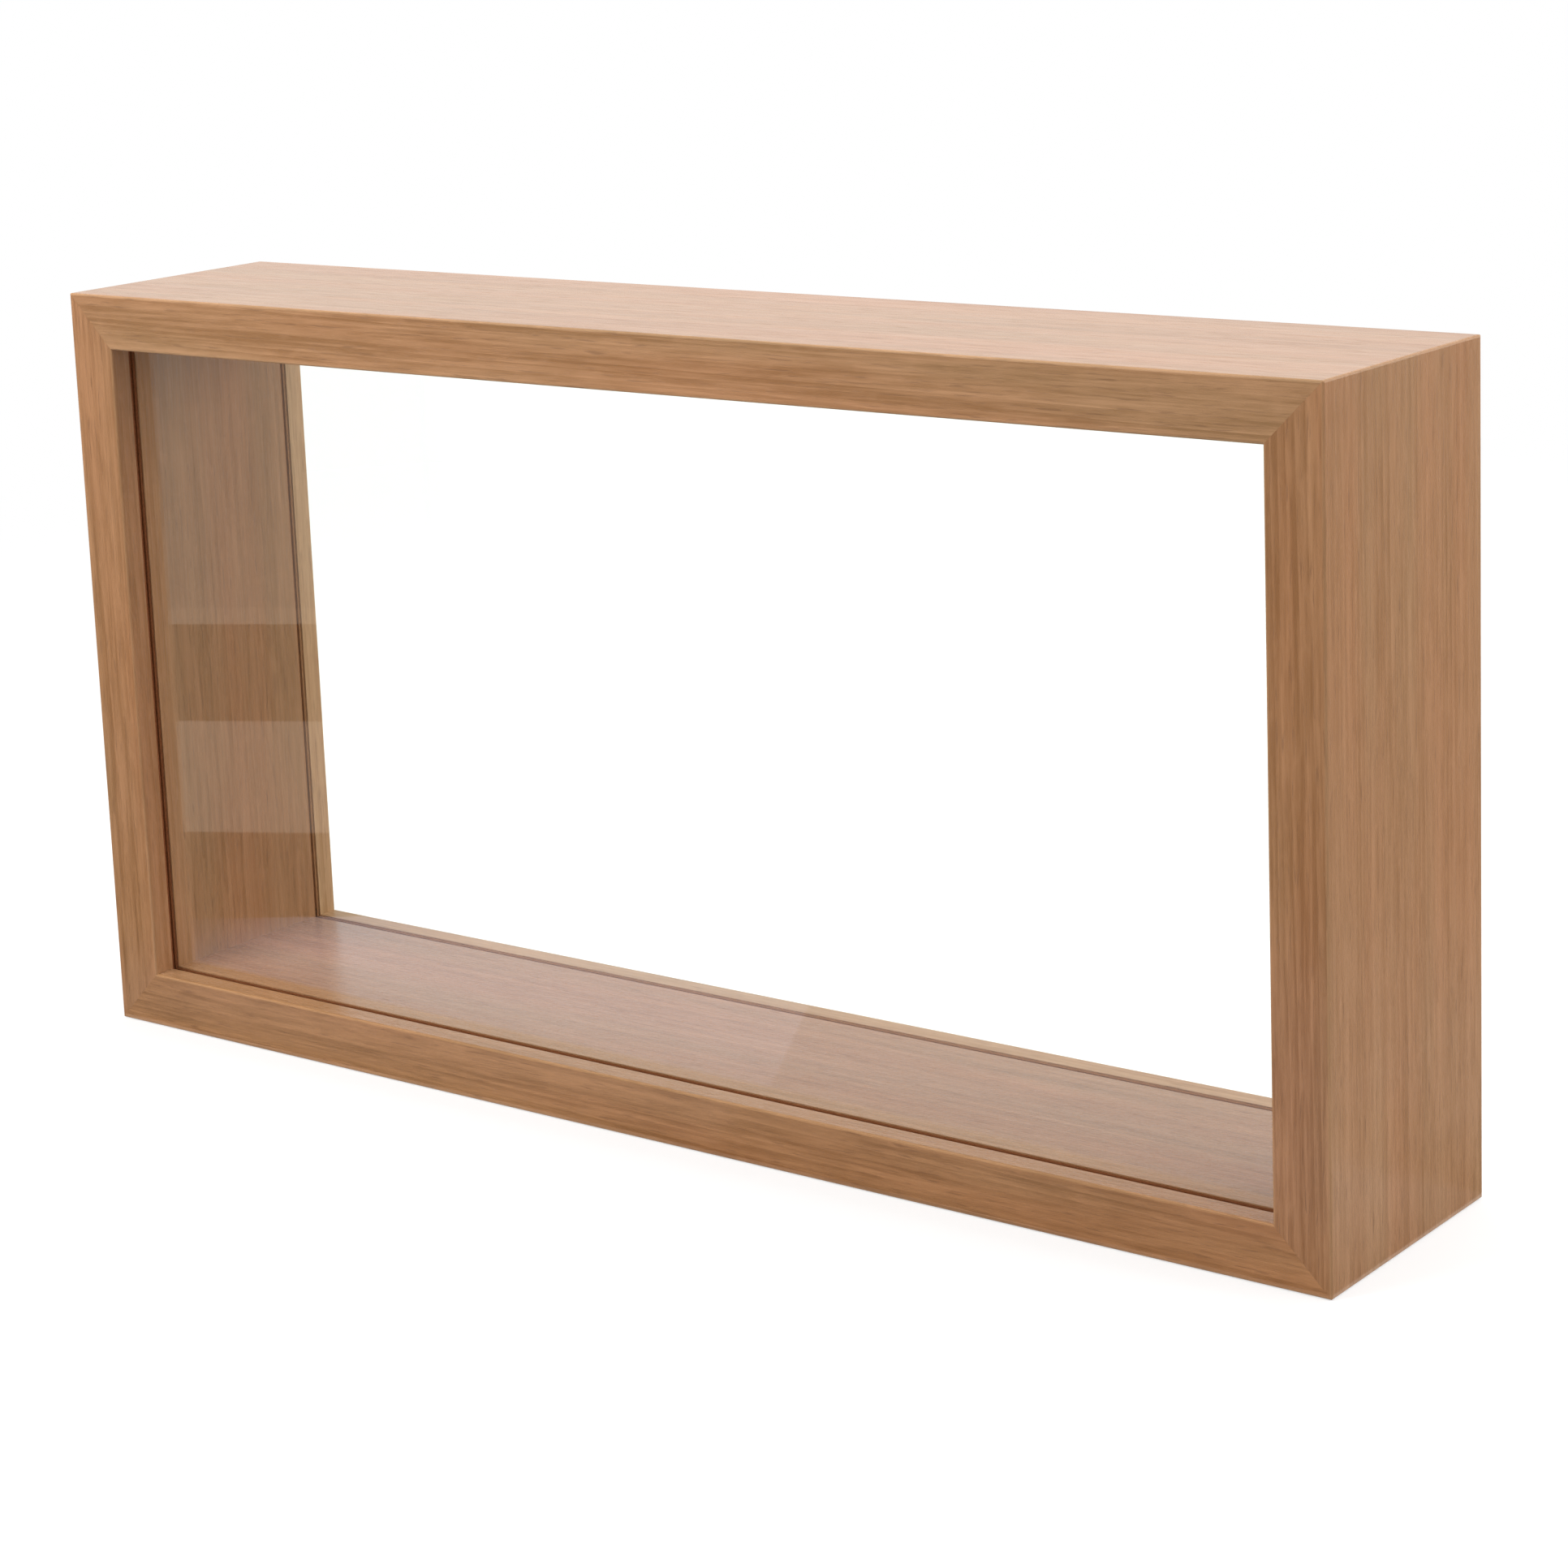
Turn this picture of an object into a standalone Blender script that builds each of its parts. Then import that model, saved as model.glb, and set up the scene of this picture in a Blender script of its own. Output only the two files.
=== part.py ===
"""Shadow box: a mitred oak case, glazed at the front and at the back.

The front pane is captive in a groove that runs round all four boards. The rear pane is
taped to an insert frame, which sits in a stepped rebate, is held by disc magnets and
pulls straight off the back by two finger scoops.

Metres, +Z up. The box stands on its underside with the origin at the centre of its
footprint. The front faces -Y, and left and right are as seen from the front.
"""
import math

import bmesh
import bpy
from mathutils import Matrix, Vector

# Case
CASE_WIDTH = 0.650
CASE_HEIGHT = 0.347
CASE_DEPTH = 0.123
BOARD_THICKNESS = 0.025
ARRIS_RADIUS = 0.001
ARRIS_SEGMENTS = 3

# Fits
GLUE_LINE = 0.0001
SEAT_GAP = 0.0003
OVERRUN = 0.004
WELD_DISTANCE = 0.000001

# Panes and what holds them
PANE_THICKNESS = 0.002
PANE_BITE = 0.005
PANE_SETBACK = 0.012
PANE_SEAM = 0.0004
TAPE_ROOM = 0.0015
TAPE_RECESS = 0.0006
SETTING_BLOCK_LENGTH = 0.030
SETTING_BLOCK_THICKNESS = 0.0015
SETTING_BLOCK_PLACE_SHARE = 0.25

# Disc magnets
MAGNET_DIAMETER = 0.005
MAGNET_HEIGHT = 0.003
MAGNET_PLAY = 0.00015
MAGNET_WALL = 0.0015
MAGNET_SEGMENTS = 24
MAGNET_PLACE_SHARE = 0.31

# Rear insert frame
INSERT_FIT = 0.0005
FEATHER_THICKNESS = 0.0016
FEATHER_DEPTH_SHARE = 0.65

# Finger scoops in the case and the hooks behind the insert's lip
SCOOP_LENGTH = 0.026
SCOOP_WALL = 0.0045
SCOOP_CORNER = 0.005
HOOK_LENGTH = 0.020
HOOK_DEPTH = 0.0035
HOOK_HEIGHT = 0.004
HOOK_LIP = 0.004
HOOK_CORNER = 0.003
CORNER_SEGMENTS = 5

# Biscuits across the mitres: the arcs follow the blade that cuts their slots
BISCUIT_WIDTH = 0.012
BISCUIT_TIP = 0.0021
BISCUIT_THICKNESS = 0.003
BISCUIT_PLAY = 0.0002
BISCUIT_SPACING = 0.002
BISCUIT_INSET_SHARE = 0.52
BLADE_RADIUS = 0.039
BLADE_SEGMENTS = 8

# Sections worked out from the sizes above. A section is measured from the front face
# (depth) and from the board's outer face (height).
INNER_WIDTH = CASE_WIDTH - 2 * BOARD_THICKNESS
INNER_HEIGHT = CASE_HEIGHT - 2 * BOARD_THICKNESS
GROOVE_DEPTH = PANE_BITE + SETTING_BLOCK_THICKNESS + 2 * SEAT_GAP
GROOVE_FLOOR = BOARD_THICKNESS - GROOVE_DEPTH
GROOVE_FRONT = PANE_SETBACK - TAPE_ROOM
GROOVE_REAR = PANE_SETBACK + PANE_THICKNESS + TAPE_ROOM
PANE_LEDGE = CASE_DEPTH - GROOVE_REAR
REAR_PANE_FRONT = PANE_LEDGE + TAPE_ROOM
INSERT_THICKNESS = PANE_SETBACK - TAPE_ROOM
INSERT_LEDGE = CASE_DEPTH - INSERT_THICKNESS - SEAT_GAP
LEDGE_WIDTH = MAGNET_DIAMETER + 2 * MAGNET_WALL
CASE_EDGE = GROOVE_FLOOR - LEDGE_WIDTH
INSERT_EDGE = CASE_EDGE + INSERT_FIT
INSERT_RAIL_WIDTH = BOARD_THICKNESS - INSERT_EDGE
MAGNET_LINE = CASE_EDGE + LEDGE_WIDTH / 2
SCOOP_DEPTH = HOOK_LIP + HOOK_HEIGHT

# Each side is the one before it, given a quarter turn about the case's centre.
SIDES = ("bottom", "left", "top", "right")
CORNERS = {
    "bottom_left": (-1, -1),
    "bottom_right": (1, -1),
    "top_left": (-1, 1),
    "top_right": (1, 1),
}

# Finishes: colour, roughness, metallic, transmission
FINISHES = {
    "oak": ((0.66, 0.49, 0.34), 0.45, 0.0, 0.0),
    "beech": ((0.78, 0.62, 0.43), 0.70, 0.0, 0.0),
    "glass": ((0.93, 0.97, 0.95), 0.02, 0.0, 1.0),
    "rubber": ((0.06, 0.06, 0.06), 0.85, 0.0, 0.0),
    "foam": ((0.22, 0.15, 0.10), 0.90, 0.0, 0.0),
    "nickel": ((0.72, 0.71, 0.69), 0.25, 1.0, 0.0),
}


def clear_scene():
    for old in list(bpy.data.objects):
        bpy.data.objects.remove(old, do_unlink=True)


def make_collection(name):
    collection = bpy.data.collections.new(name)
    bpy.context.scene.collection.children.link(collection)
    return collection


def linear(channel):
    """One sRGB channel as the linear value that a shader takes."""
    if channel <= 0.04045:
        return channel / 12.92
    return ((channel + 0.055) / 1.055) ** 2.4


def give_finish(piece, finish):
    colour, roughness, metallic, transmission = FINISHES[finish]
    material = bpy.data.materials.new(piece.name + "_" + finish)
    material.use_nodes = True
    shader = material.node_tree.nodes["Principled BSDF"]
    shader.inputs["Base Color"].default_value = [linear(c) for c in colour] + [1]
    shader.inputs["Roughness"].default_value = roughness
    shader.inputs["Metallic"].default_value = metallic
    shader.inputs["Transmission Weight"].default_value = transmission
    piece.data.materials.clear()
    piece.data.materials.append(material)


def add_object(name, mesh, collection, matrix):
    made = bpy.data.objects.new(name, mesh)
    made.matrix_world = matrix
    collection.objects.link(made)
    return made


def mesh_from(name, shape):
    mesh = bpy.data.meshes.new(name)
    shape.to_mesh(mesh)
    shape.free()
    return mesh


def box_mesh(name, low, high):
    """A box between two corners."""
    low, high = Vector(low), Vector(high)
    shape = bmesh.new()
    bmesh.ops.create_cube(shape, size=1)
    bmesh.ops.scale(shape, vec=high - low, verts=shape.verts)
    bmesh.ops.translate(shape, vec=(high + low) / 2, verts=shape.verts)
    return mesh_from(name, shape)


def disc_mesh(name, radius, height, segments, centre):
    """A short cylinder whose axis runs front to back."""
    shape = bmesh.new()
    bmesh.ops.create_cone(
        shape, cap_ends=True, segments=segments, radius1=radius, radius2=radius, depth=height
    )
    turn = Matrix.Rotation(math.radians(90), 4, "X")
    bmesh.ops.transform(shape, matrix=Matrix.Translation(centre) @ turn, verts=shape.verts)
    mesh = mesh_from(name, shape)
    mesh.shade_smooth()
    mesh.set_sharp_from_angle(angle=math.radians(40))
    return mesh


def outline_mesh(name, points, thickness):
    """A flat outline in the XY plane, made a plate of this thickness about that plane."""
    curve = bpy.data.curves.new(name, "CURVE")
    curve.dimensions = "2D"
    curve.fill_mode = "BOTH"
    curve.extrude = thickness / 2
    spline = curve.splines.new("POLY")
    spline.points.add(len(points) - 1)
    for point, (x, y) in zip(spline.points, points):
        point.co = (x, y, 0, 1)
    spline.use_cyclic_u = True
    carrier = bpy.data.objects.new(name, curve)
    bpy.context.scene.collection.objects.link(carrier)
    graph = bpy.context.evaluated_depsgraph_get()
    mesh = bpy.data.meshes.new_from_object(carrier.evaluated_get(graph))
    bpy.data.objects.remove(carrier, do_unlink=True)
    bpy.data.curves.remove(curve)
    shape = bmesh.new()
    shape.from_mesh(mesh)
    bmesh.ops.remove_doubles(shape, verts=shape.verts, dist=WELD_DISTANCE)
    bmesh.ops.recalc_face_normals(shape, faces=shape.faces)
    shape.to_mesh(mesh)
    shape.free()
    return mesh


def arc(centre, radius, start, end, segments):
    """Points on an arc, with its angles in degrees."""
    angles = [math.radians(start + (end - start) * i / segments) for i in range(segments + 1)]
    return [(centre[0] + radius * math.cos(a), centre[1] + radius * math.sin(a)) for a in angles]


def rounded_rectangle(low, high, radius):
    """A rectangle with round corners, counterclockwise from its lower right corner."""
    centres = [
        (high[0] - radius, low[1] + radius),
        (high[0] - radius, high[1] - radius),
        (low[0] + radius, high[1] - radius),
        (low[0] + radius, low[1] + radius),
    ]
    points = []
    for quarter, centre in enumerate(centres):
        start = 90 * (quarter - 1)
        points += arc(centre, radius, start, start + 90, CORNER_SEGMENTS)
    return points


def side_matrix(side):
    """Turns a piece of the bottom side into one of another side, about the case's centre."""
    turn = Matrix.Rotation(math.radians(90) * SIDES.index(side), 4, "Y")
    return Matrix.Translation((0, 0, CASE_HEIGHT / 2)) @ turn


def side_sizes(side):
    """A side's outer length, and how far its outer face lies from the case's centre."""
    if side in ("bottom", "top"):
        return CASE_WIDTH, CASE_HEIGHT / 2
    return CASE_HEIGHT, CASE_WIDTH / 2


def mitred_mesh(name, section, side):
    """A section run along one side of the case and mitred at both ends.

    Both ends start square, and each of their points then moves back by its own distance
    from the outer face, plus its half of the glue line.
    """
    length, reach = side_sizes(side)
    mesh = outline_mesh(name, section, length)
    setback = GLUE_LINE / math.sqrt(2)
    for vertex in mesh.vertices:
        depth, height, along = vertex.co
        end = math.copysign(length / 2 - height - setback, along)
        vertex.co = (end, depth - CASE_DEPTH / 2, height - reach)
    shape = bmesh.new()
    shape.from_mesh(mesh)
    bmesh.ops.recalc_face_normals(shape, faces=shape.faces)
    shape.to_mesh(mesh)
    shape.free()
    return mesh


def cut(pieces, cutter):
    """Takes the cutter's shape out of each of the pieces."""
    for piece in pieces:
        modifier = piece.modifiers.new(cutter.name, "BOOLEAN")
        modifier.operation = "DIFFERENCE"
        modifier.solver = "EXACT"
        modifier.object = cutter


def add_cutter(name, mesh, matrix):
    cutter = add_object("cutter_" + name, mesh, cutters, matrix)
    cutter.hide_render = True
    cutter.display_type = "WIRE"
    return cutter


def board_section():
    """The case's section: groove near the front, two steps at the back, eased arrises."""
    radius = ARRIS_RADIUS
    top = BOARD_THICKNESS
    points = arc((radius, radius), radius, 180, 270, ARRIS_SEGMENTS)
    points += arc((CASE_DEPTH - radius, radius), radius, 270, 360, ARRIS_SEGMENTS)
    points += [
        (CASE_DEPTH, CASE_EDGE),
        (INSERT_LEDGE, CASE_EDGE),
        (INSERT_LEDGE, GROOVE_FLOOR),
        (PANE_LEDGE, GROOVE_FLOOR),
        (PANE_LEDGE, top),
        (GROOVE_REAR, top),
        (GROOVE_REAR, GROOVE_FLOOR),
        (GROOVE_FRONT, GROOVE_FLOOR),
        (GROOVE_FRONT, top),
    ]
    points += arc((radius, top - radius), radius, 90, 180, ARRIS_SEGMENTS)
    return points


def insert_section():
    """The insert rail's section, flush with the case at the back and inside the window."""
    radius = ARRIS_RADIUS
    rear, top = CASE_DEPTH, BOARD_THICKNESS
    points = [(rear - INSERT_THICKNESS, top), (rear - INSERT_THICKNESS, INSERT_EDGE)]
    points += [(rear, INSERT_EDGE)]
    points += arc((rear - radius, top - radius), radius, 0, 90, ARRIS_SEGMENTS)
    return points


def make_case():
    boards = {}
    for side in SIDES:
        mesh = mitred_mesh(side + "_board", board_section(), side)
        boards[side] = add_object(side + "_board", mesh, parts, side_matrix(side))
        give_finish(boards[side], "oak")
    for corner in CORNERS:
        ease_corner(corner, boards)
    return boards


def corner_pieces(corner, sides):
    """The two pieces that meet at a corner."""
    return [sides[side] for side in corner.split("_")]


def ease_corner(corner, boards):
    """Rounds the sharp outer edge of a mitre, once its two boards are together."""
    side_x, side_z = CORNERS[corner]
    radius = ARRIS_RADIUS
    tip_x, tip_z = CASE_WIDTH / 2, CASE_HEIGHT / 2
    points = arc((tip_x - radius, tip_z - radius), radius, 0, 90, ARRIS_SEGMENTS)
    points += [
        (tip_x - radius, tip_z + OVERRUN),
        (tip_x + OVERRUN, tip_z + OVERRUN),
        (tip_x + OVERRUN, tip_z - radius),
    ]
    points = [(side_x * x, side_z * z) for x, z in points]
    mesh = outline_mesh("arris_" + corner, points, CASE_DEPTH + 2 * OVERRUN)
    upright = Matrix.Rotation(math.radians(90), 4, "X")
    matrix = Matrix.Translation((0, 0, CASE_HEIGHT / 2)) @ upright
    cut(corner_pieces(corner, boards), add_cutter("arris_" + corner, mesh, matrix))


def lens_reach(half_width, half_tip):
    """Half the length of a lens between two arcs of the biscuit blade."""
    rise = BLADE_RADIUS - half_width + half_tip
    return math.sqrt(BLADE_RADIUS**2 - rise**2)


def lens_outline(half_width, half_tip):
    """Two arcs of the biscuit blade, back to back, with their pointed tips cut off."""
    sweep = math.degrees(math.asin(lens_reach(half_width, half_tip) / BLADE_RADIUS))
    drop = BLADE_RADIUS - half_width
    upper = arc((0, -drop), BLADE_RADIUS, 90 - sweep, 90 + sweep, BLADE_SEGMENTS)
    lower = [(-x, -y) for x, y in upper]
    return upper + lower


def biscuit_matrix(corner, depth):
    """X runs front to back, Y across the mitre and Z along it, towards the window."""
    side_x, side_z = CORNERS[corner]
    inset = BISCUIT_INSET_SHARE * BOARD_THICKNESS
    depthwise = Vector((0, 1, 0))
    inward = Vector((-side_x, 0, -side_z)).normalized()
    matrix = Matrix((depthwise, inward.cross(depthwise), inward)).transposed().to_4x4()
    matrix.translation = (
        side_x * (CASE_WIDTH / 2 - inset),
        depth - CASE_DEPTH / 2,
        CASE_HEIGHT / 2 + side_z * (CASE_HEIGHT / 2 - inset),
    )
    return matrix


def make_biscuits(boards):
    """As many biscuits in a row at each mitre as fit in front of the rear rebate."""
    body = lens_outline(BISCUIT_WIDTH / 2, BISCUIT_TIP / 2)
    slot_depth = BISCUIT_WIDTH / 2 + BISCUIT_PLAY
    slot = lens_outline(slot_depth, BISCUIT_PLAY)
    slot_length = 2 * lens_reach(slot_depth, BISCUIT_PLAY)
    count = max(1, int(PANE_LEDGE / (slot_length + BISCUIT_SPACING)))
    for corner in CORNERS:
        for index in range(count):
            name = f"biscuit_{corner}_{index + 1}"
            matrix = biscuit_matrix(corner, PANE_LEDGE * (index + 0.5) / count)
            mesh = outline_mesh(name, body, BISCUIT_THICKNESS)
            give_finish(add_object(name, mesh, parts, matrix), "beech")
            room = outline_mesh(name + "_slot", slot, BISCUIT_THICKNESS + 2 * BISCUIT_PLAY)
            cut(corner_pieces(corner, boards), add_cutter(name + "_slot", room, matrix))


def window_mesh(name, near, far, overlap):
    """A box between two depths that overlaps the case's inner walls all round."""
    reach_x = INNER_WIDTH / 2 + overlap
    reach_z = INNER_HEIGHT / 2 + overlap
    low = (-reach_x, near - CASE_DEPTH / 2, CASE_HEIGHT / 2 - reach_z)
    high = (reach_x, far - CASE_DEPTH / 2, CASE_HEIGHT / 2 + reach_z)
    return box_mesh(name, low, high)


def make_pane(name, front):
    """A sheet of glass whose front face lies this far behind the case's front face."""
    mesh = window_mesh(name, front, front + PANE_THICKNESS, PANE_BITE)
    pane = add_object(name, mesh, parts, Matrix())
    seam = pane.modifiers.new("seamed_edges", "BEVEL")
    seam.width = PANE_SEAM
    seam.segments = 1
    give_finish(pane, "glass")
    return pane


def make_tape(name, near, far):
    """Foam tape laid round a pane's margin, and hidden a little below the inner walls."""
    tape = add_object(name, window_mesh(name, near, far, PANE_BITE), parts, Matrix())
    window = window_mesh(name + "_window", near - OVERRUN, far + OVERRUN, TAPE_RECESS)
    cut([tape], add_cutter(name + "_window", window, Matrix()))
    give_finish(tape, "foam")
    return tape


def make_setting_blocks():
    """Two rubber blocks in the bottom groove, which the front pane stands on."""
    bottom = GROOVE_FLOOR + SEAT_GAP
    front = PANE_SETBACK - CASE_DEPTH / 2
    for name, sign in (("left", -1), ("right", 1)):
        middle = sign * INNER_WIDTH * SETTING_BLOCK_PLACE_SHARE
        low = (middle - SETTING_BLOCK_LENGTH / 2, front, bottom)
        high = (
            middle + SETTING_BLOCK_LENGTH / 2,
            front + PANE_THICKNESS,
            bottom + SETTING_BLOCK_THICKNESS,
        )
        name = "front_setting_block_" + name
        give_finish(add_object(name, box_mesh(name, low, high), parts, Matrix()), "rubber")


def make_insert_rails():
    rails = {}
    for side in SIDES:
        name = f"insert_{side}_rail"
        mesh = mitred_mesh(name, insert_section(), side)
        rails[side] = add_object(name, mesh, parts, side_matrix(side))
        give_finish(rails[side], "oak")
    return rails


def make_feathers(rails):
    """A thin slip let into a saw kerf across each outer corner of the insert frame."""
    tip_x = CASE_WIDTH / 2 - INSERT_EDGE
    tip_z = CASE_HEIGHT / 2 - INSERT_EDGE
    leg = 2 * FEATHER_DEPTH_SHARE * INSERT_RAIL_WIDTH
    kerf_leg = leg + SEAT_GAP * math.sqrt(2)
    upright = Matrix.Rotation(math.radians(90), 4, "X")
    middle = (0, CASE_DEPTH / 2 - INSERT_THICKNESS / 2, CASE_HEIGHT / 2)
    matrix = Matrix.Translation(middle) @ upright
    made = []
    for corner, (side_x, side_z) in CORNERS.items():
        slip = [(tip_x, tip_z), (tip_x - leg, tip_z), (tip_x, tip_z - leg)]
        kerf = [
            (tip_x + OVERRUN, tip_z + OVERRUN),
            (tip_x - kerf_leg - OVERRUN, tip_z + OVERRUN),
            (tip_x + OVERRUN, tip_z - kerf_leg - OVERRUN),
        ]
        slip = [(side_x * x, side_z * z) for x, z in slip]
        kerf = [(side_x * x, side_z * z) for x, z in kerf]
        name = "insert_feather_" + corner
        feather = add_object(name, outline_mesh(name, slip, FEATHER_THICKNESS), parts, matrix)
        give_finish(feather, "beech")
        made.append(feather)
        room = outline_mesh(name + "_kerf", kerf, FEATHER_THICKNESS + 2 * SEAT_GAP)
        cut(corner_pieces(corner, rails), add_cutter(name + "_kerf", room, matrix))
    return made


def make_magnets(owners, label, mouth, direction):
    """Two discs in each side, let into the face at this depth, on its forward or rear side."""
    made = []
    pocket_depth = MAGNET_HEIGHT + 2 * MAGNET_PLAY
    for side, owner in owners.items():
        length, reach = side_sizes(side)
        for index, sign in enumerate((-1, 1)):
            name = f"{label}_magnet_{side}_{index + 1}"
            along = sign * length * MAGNET_PLACE_SHARE
            middle = mouth + direction * pocket_depth / 2 - CASE_DEPTH / 2
            centre = Vector((along, middle, MAGNET_LINE - reach))
            disc = disc_mesh(name, MAGNET_DIAMETER / 2, MAGNET_HEIGHT, MAGNET_SEGMENTS, centre)
            magnet = add_object(name, disc, parts, side_matrix(side))
            give_finish(magnet, "nickel")
            made.append(magnet)
            open_end = Vector((0, direction * OVERRUN / 2, 0))
            room = disc_mesh(
                name + "_pocket",
                MAGNET_DIAMETER / 2 + MAGNET_PLAY,
                pocket_depth + OVERRUN,
                MAGNET_SEGMENTS,
                centre - open_end,
            )
            cut([owner], add_cutter(name + "_pocket", room, side_matrix(side)))
    return made


def make_finger_scoops(boards, rails):
    """A scoop in each upright board's rear edge, and a hook behind the insert's lip there."""
    upright = Matrix.Rotation(math.radians(90), 4, "X")
    for side in ("left", "right"):
        reach = side_sizes(side)[1]
        scoop = rounded_rectangle(
            (-SCOOP_LENGTH / 2, SCOOP_WALL - reach),
            (SCOOP_LENGTH / 2, BOARD_THICKNESS - reach),
            SCOOP_CORNER,
        )
        scoop_mesh = outline_mesh(side + "_scoop", scoop, SCOOP_DEPTH + OVERRUN)
        scoop_middle = CASE_DEPTH / 2 - (SCOOP_DEPTH - OVERRUN) / 2
        matrix = side_matrix(side) @ Matrix.Translation((0, scoop_middle, 0)) @ upright
        cut([boards[side]], add_cutter(side + "_scoop", scoop_mesh, matrix))
        hook = rounded_rectangle(
            (-HOOK_LENGTH / 2, INSERT_EDGE - OVERRUN - reach),
            (HOOK_LENGTH / 2, INSERT_EDGE + HOOK_DEPTH - reach),
            HOOK_CORNER,
        )
        hook_mesh = outline_mesh(side + "_hook", hook, HOOK_HEIGHT)
        hook_middle = CASE_DEPTH / 2 - HOOK_LIP - HOOK_HEIGHT / 2
        matrix = side_matrix(side) @ Matrix.Translation((0, hook_middle, 0)) @ upright
        cut([rails[side]], add_cutter(side + "_hook", hook_mesh, matrix))


def carry(pieces, name, place):
    """Parents the pieces to an empty on the axis that they move along."""
    carrier = bpy.data.objects.new(name, None)
    carrier.location = place
    parts.objects.link(carrier)
    bpy.context.view_layer.update()
    for piece in pieces:
        piece.parent = carrier
        piece.matrix_parent_inverse = carrier.matrix_world.inverted()


clear_scene()
parts = make_collection("shadow_box")
cutters = make_collection("cutters")

case_boards = make_case()
make_biscuits(case_boards)
make_pane("front_pane", PANE_SETBACK)
make_tape("front_tape_outer", GROOVE_FRONT + GLUE_LINE, PANE_SETBACK - GLUE_LINE)
make_tape("front_tape_inner", GROOVE_REAR - TAPE_ROOM + GLUE_LINE, GROOVE_REAR - GLUE_LINE)
make_tape("rear_seal", PANE_LEDGE + GLUE_LINE, REAR_PANE_FRONT - SEAT_GAP)
make_setting_blocks()
make_magnets(case_boards, "case", INSERT_LEDGE, -1)

insert_rails = make_insert_rails()
insert_feathers = make_feathers(insert_rails)
rear_pane = make_pane("rear_pane", REAR_PANE_FRONT)
rear_tape_near = REAR_PANE_FRONT + PANE_THICKNESS + GLUE_LINE
rear_tape = make_tape("rear_tape", rear_tape_near, CASE_DEPTH - INSERT_THICKNESS - GLUE_LINE)
insert_magnets = make_magnets(insert_rails, "insert", CASE_DEPTH - INSERT_THICKNESS, 1)
make_finger_scoops(case_boards, insert_rails)

insert_pieces = list(insert_rails.values()) + insert_feathers + insert_magnets
insert_pieces += [rear_pane, rear_tape]
carry(insert_pieces, "rear_insert_slide", (0, CASE_DEPTH / 2, CASE_HEIGHT / 2))
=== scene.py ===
import math

import bmesh
import bpy
from mathutils import Matrix, Vector


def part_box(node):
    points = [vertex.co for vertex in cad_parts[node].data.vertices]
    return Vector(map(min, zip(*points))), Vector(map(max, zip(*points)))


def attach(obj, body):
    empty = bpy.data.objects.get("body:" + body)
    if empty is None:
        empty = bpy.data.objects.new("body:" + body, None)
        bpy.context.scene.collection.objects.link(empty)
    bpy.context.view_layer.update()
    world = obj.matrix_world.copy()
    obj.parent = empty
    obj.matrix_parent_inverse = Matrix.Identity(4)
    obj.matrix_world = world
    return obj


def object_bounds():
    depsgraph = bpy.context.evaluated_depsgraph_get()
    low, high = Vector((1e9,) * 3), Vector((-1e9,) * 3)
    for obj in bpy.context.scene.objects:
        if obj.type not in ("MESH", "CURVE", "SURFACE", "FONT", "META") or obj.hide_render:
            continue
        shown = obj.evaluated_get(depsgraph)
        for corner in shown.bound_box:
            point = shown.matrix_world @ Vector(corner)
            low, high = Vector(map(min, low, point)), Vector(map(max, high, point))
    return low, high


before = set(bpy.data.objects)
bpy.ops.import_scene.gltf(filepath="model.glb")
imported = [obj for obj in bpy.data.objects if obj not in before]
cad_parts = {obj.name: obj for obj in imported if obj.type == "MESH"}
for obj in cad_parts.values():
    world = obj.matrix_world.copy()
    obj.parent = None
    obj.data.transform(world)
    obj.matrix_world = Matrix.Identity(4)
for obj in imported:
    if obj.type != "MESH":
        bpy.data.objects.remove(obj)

# Finishes and studio for an oak shadow box with two glass panes.
# All is in metres in the frame's axes: the front faces -Y, +X is the case's right, +Z is up.

CAD_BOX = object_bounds()
MM = 0.001

# The case, read from its solids
CORNERS = {"bottom_left": (-1, -1), "bottom_right": (1, -1), "top_left": (-1, 1), "top_right": (1, 1)}
CASE_LOW, CASE_HIGH = (Vector(corner) for corner in CAD_BOX)
CASE_MIDDLE = (CASE_LOW + CASE_HIGH) / 2
CASE_HALF = (CASE_HIGH - CASE_LOW) / 2
INNER_HALF_WIDTH = -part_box("insert_left_rail")[1].x
INNER_HALF_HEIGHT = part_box("insert_top_rail")[0].z - CASE_MIDDLE.z

# Camera, set by the case's straight edges in the photograph
CAMERA_PLACE = Vector((0.96821, -1.22026, 0.55585))
CAMERA_AZIMUTH = math.radians(37.42)
CAMERA_DOWN = math.radians(11.18)
CAMERA_ROLL = math.radians(-2.20)
CAMERA_SENSOR_MM = 36
PHOTO_SIDE = 1932
PHOTO_FOCAL_PIXELS = 4609
PHOTO_AXIS_ABOVE_MIDDLE_PIXELS = 300


def linear(hex_colour):
    """Linear RGBA of an sRGB hex colour."""
    shares = [int(hex_colour[place:place + 2], 16) / 255 for place in (1, 3, 5)]
    return [s / 12.92 if s <= 0.04045 else ((s + 0.055) / 1.055) ** 2.4 for s in shares] + [1.0]


def add_node(tree, kind, settings=None, links=None):
    """Add a node, set its properties and inputs, and link sockets or nodes' first outputs to it."""
    node = tree.nodes.new(kind)
    for name, value in (settings or {}).items():
        if isinstance(name, int) or name in node.inputs:
            node.inputs[name].default_value = value
        else:
            setattr(node, name, value)
    for name, source in (links or {}).items():
        output = source if isinstance(source, bpy.types.NodeSocket) else source.outputs[0]
        tree.links.new(output, node.inputs[name])
    return node


def new_material(name):
    """An empty node material and its tree."""
    material = bpy.data.materials.new(name)
    material.use_nodes = True
    material.node_tree.nodes.clear()
    return material, material.node_tree


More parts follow.
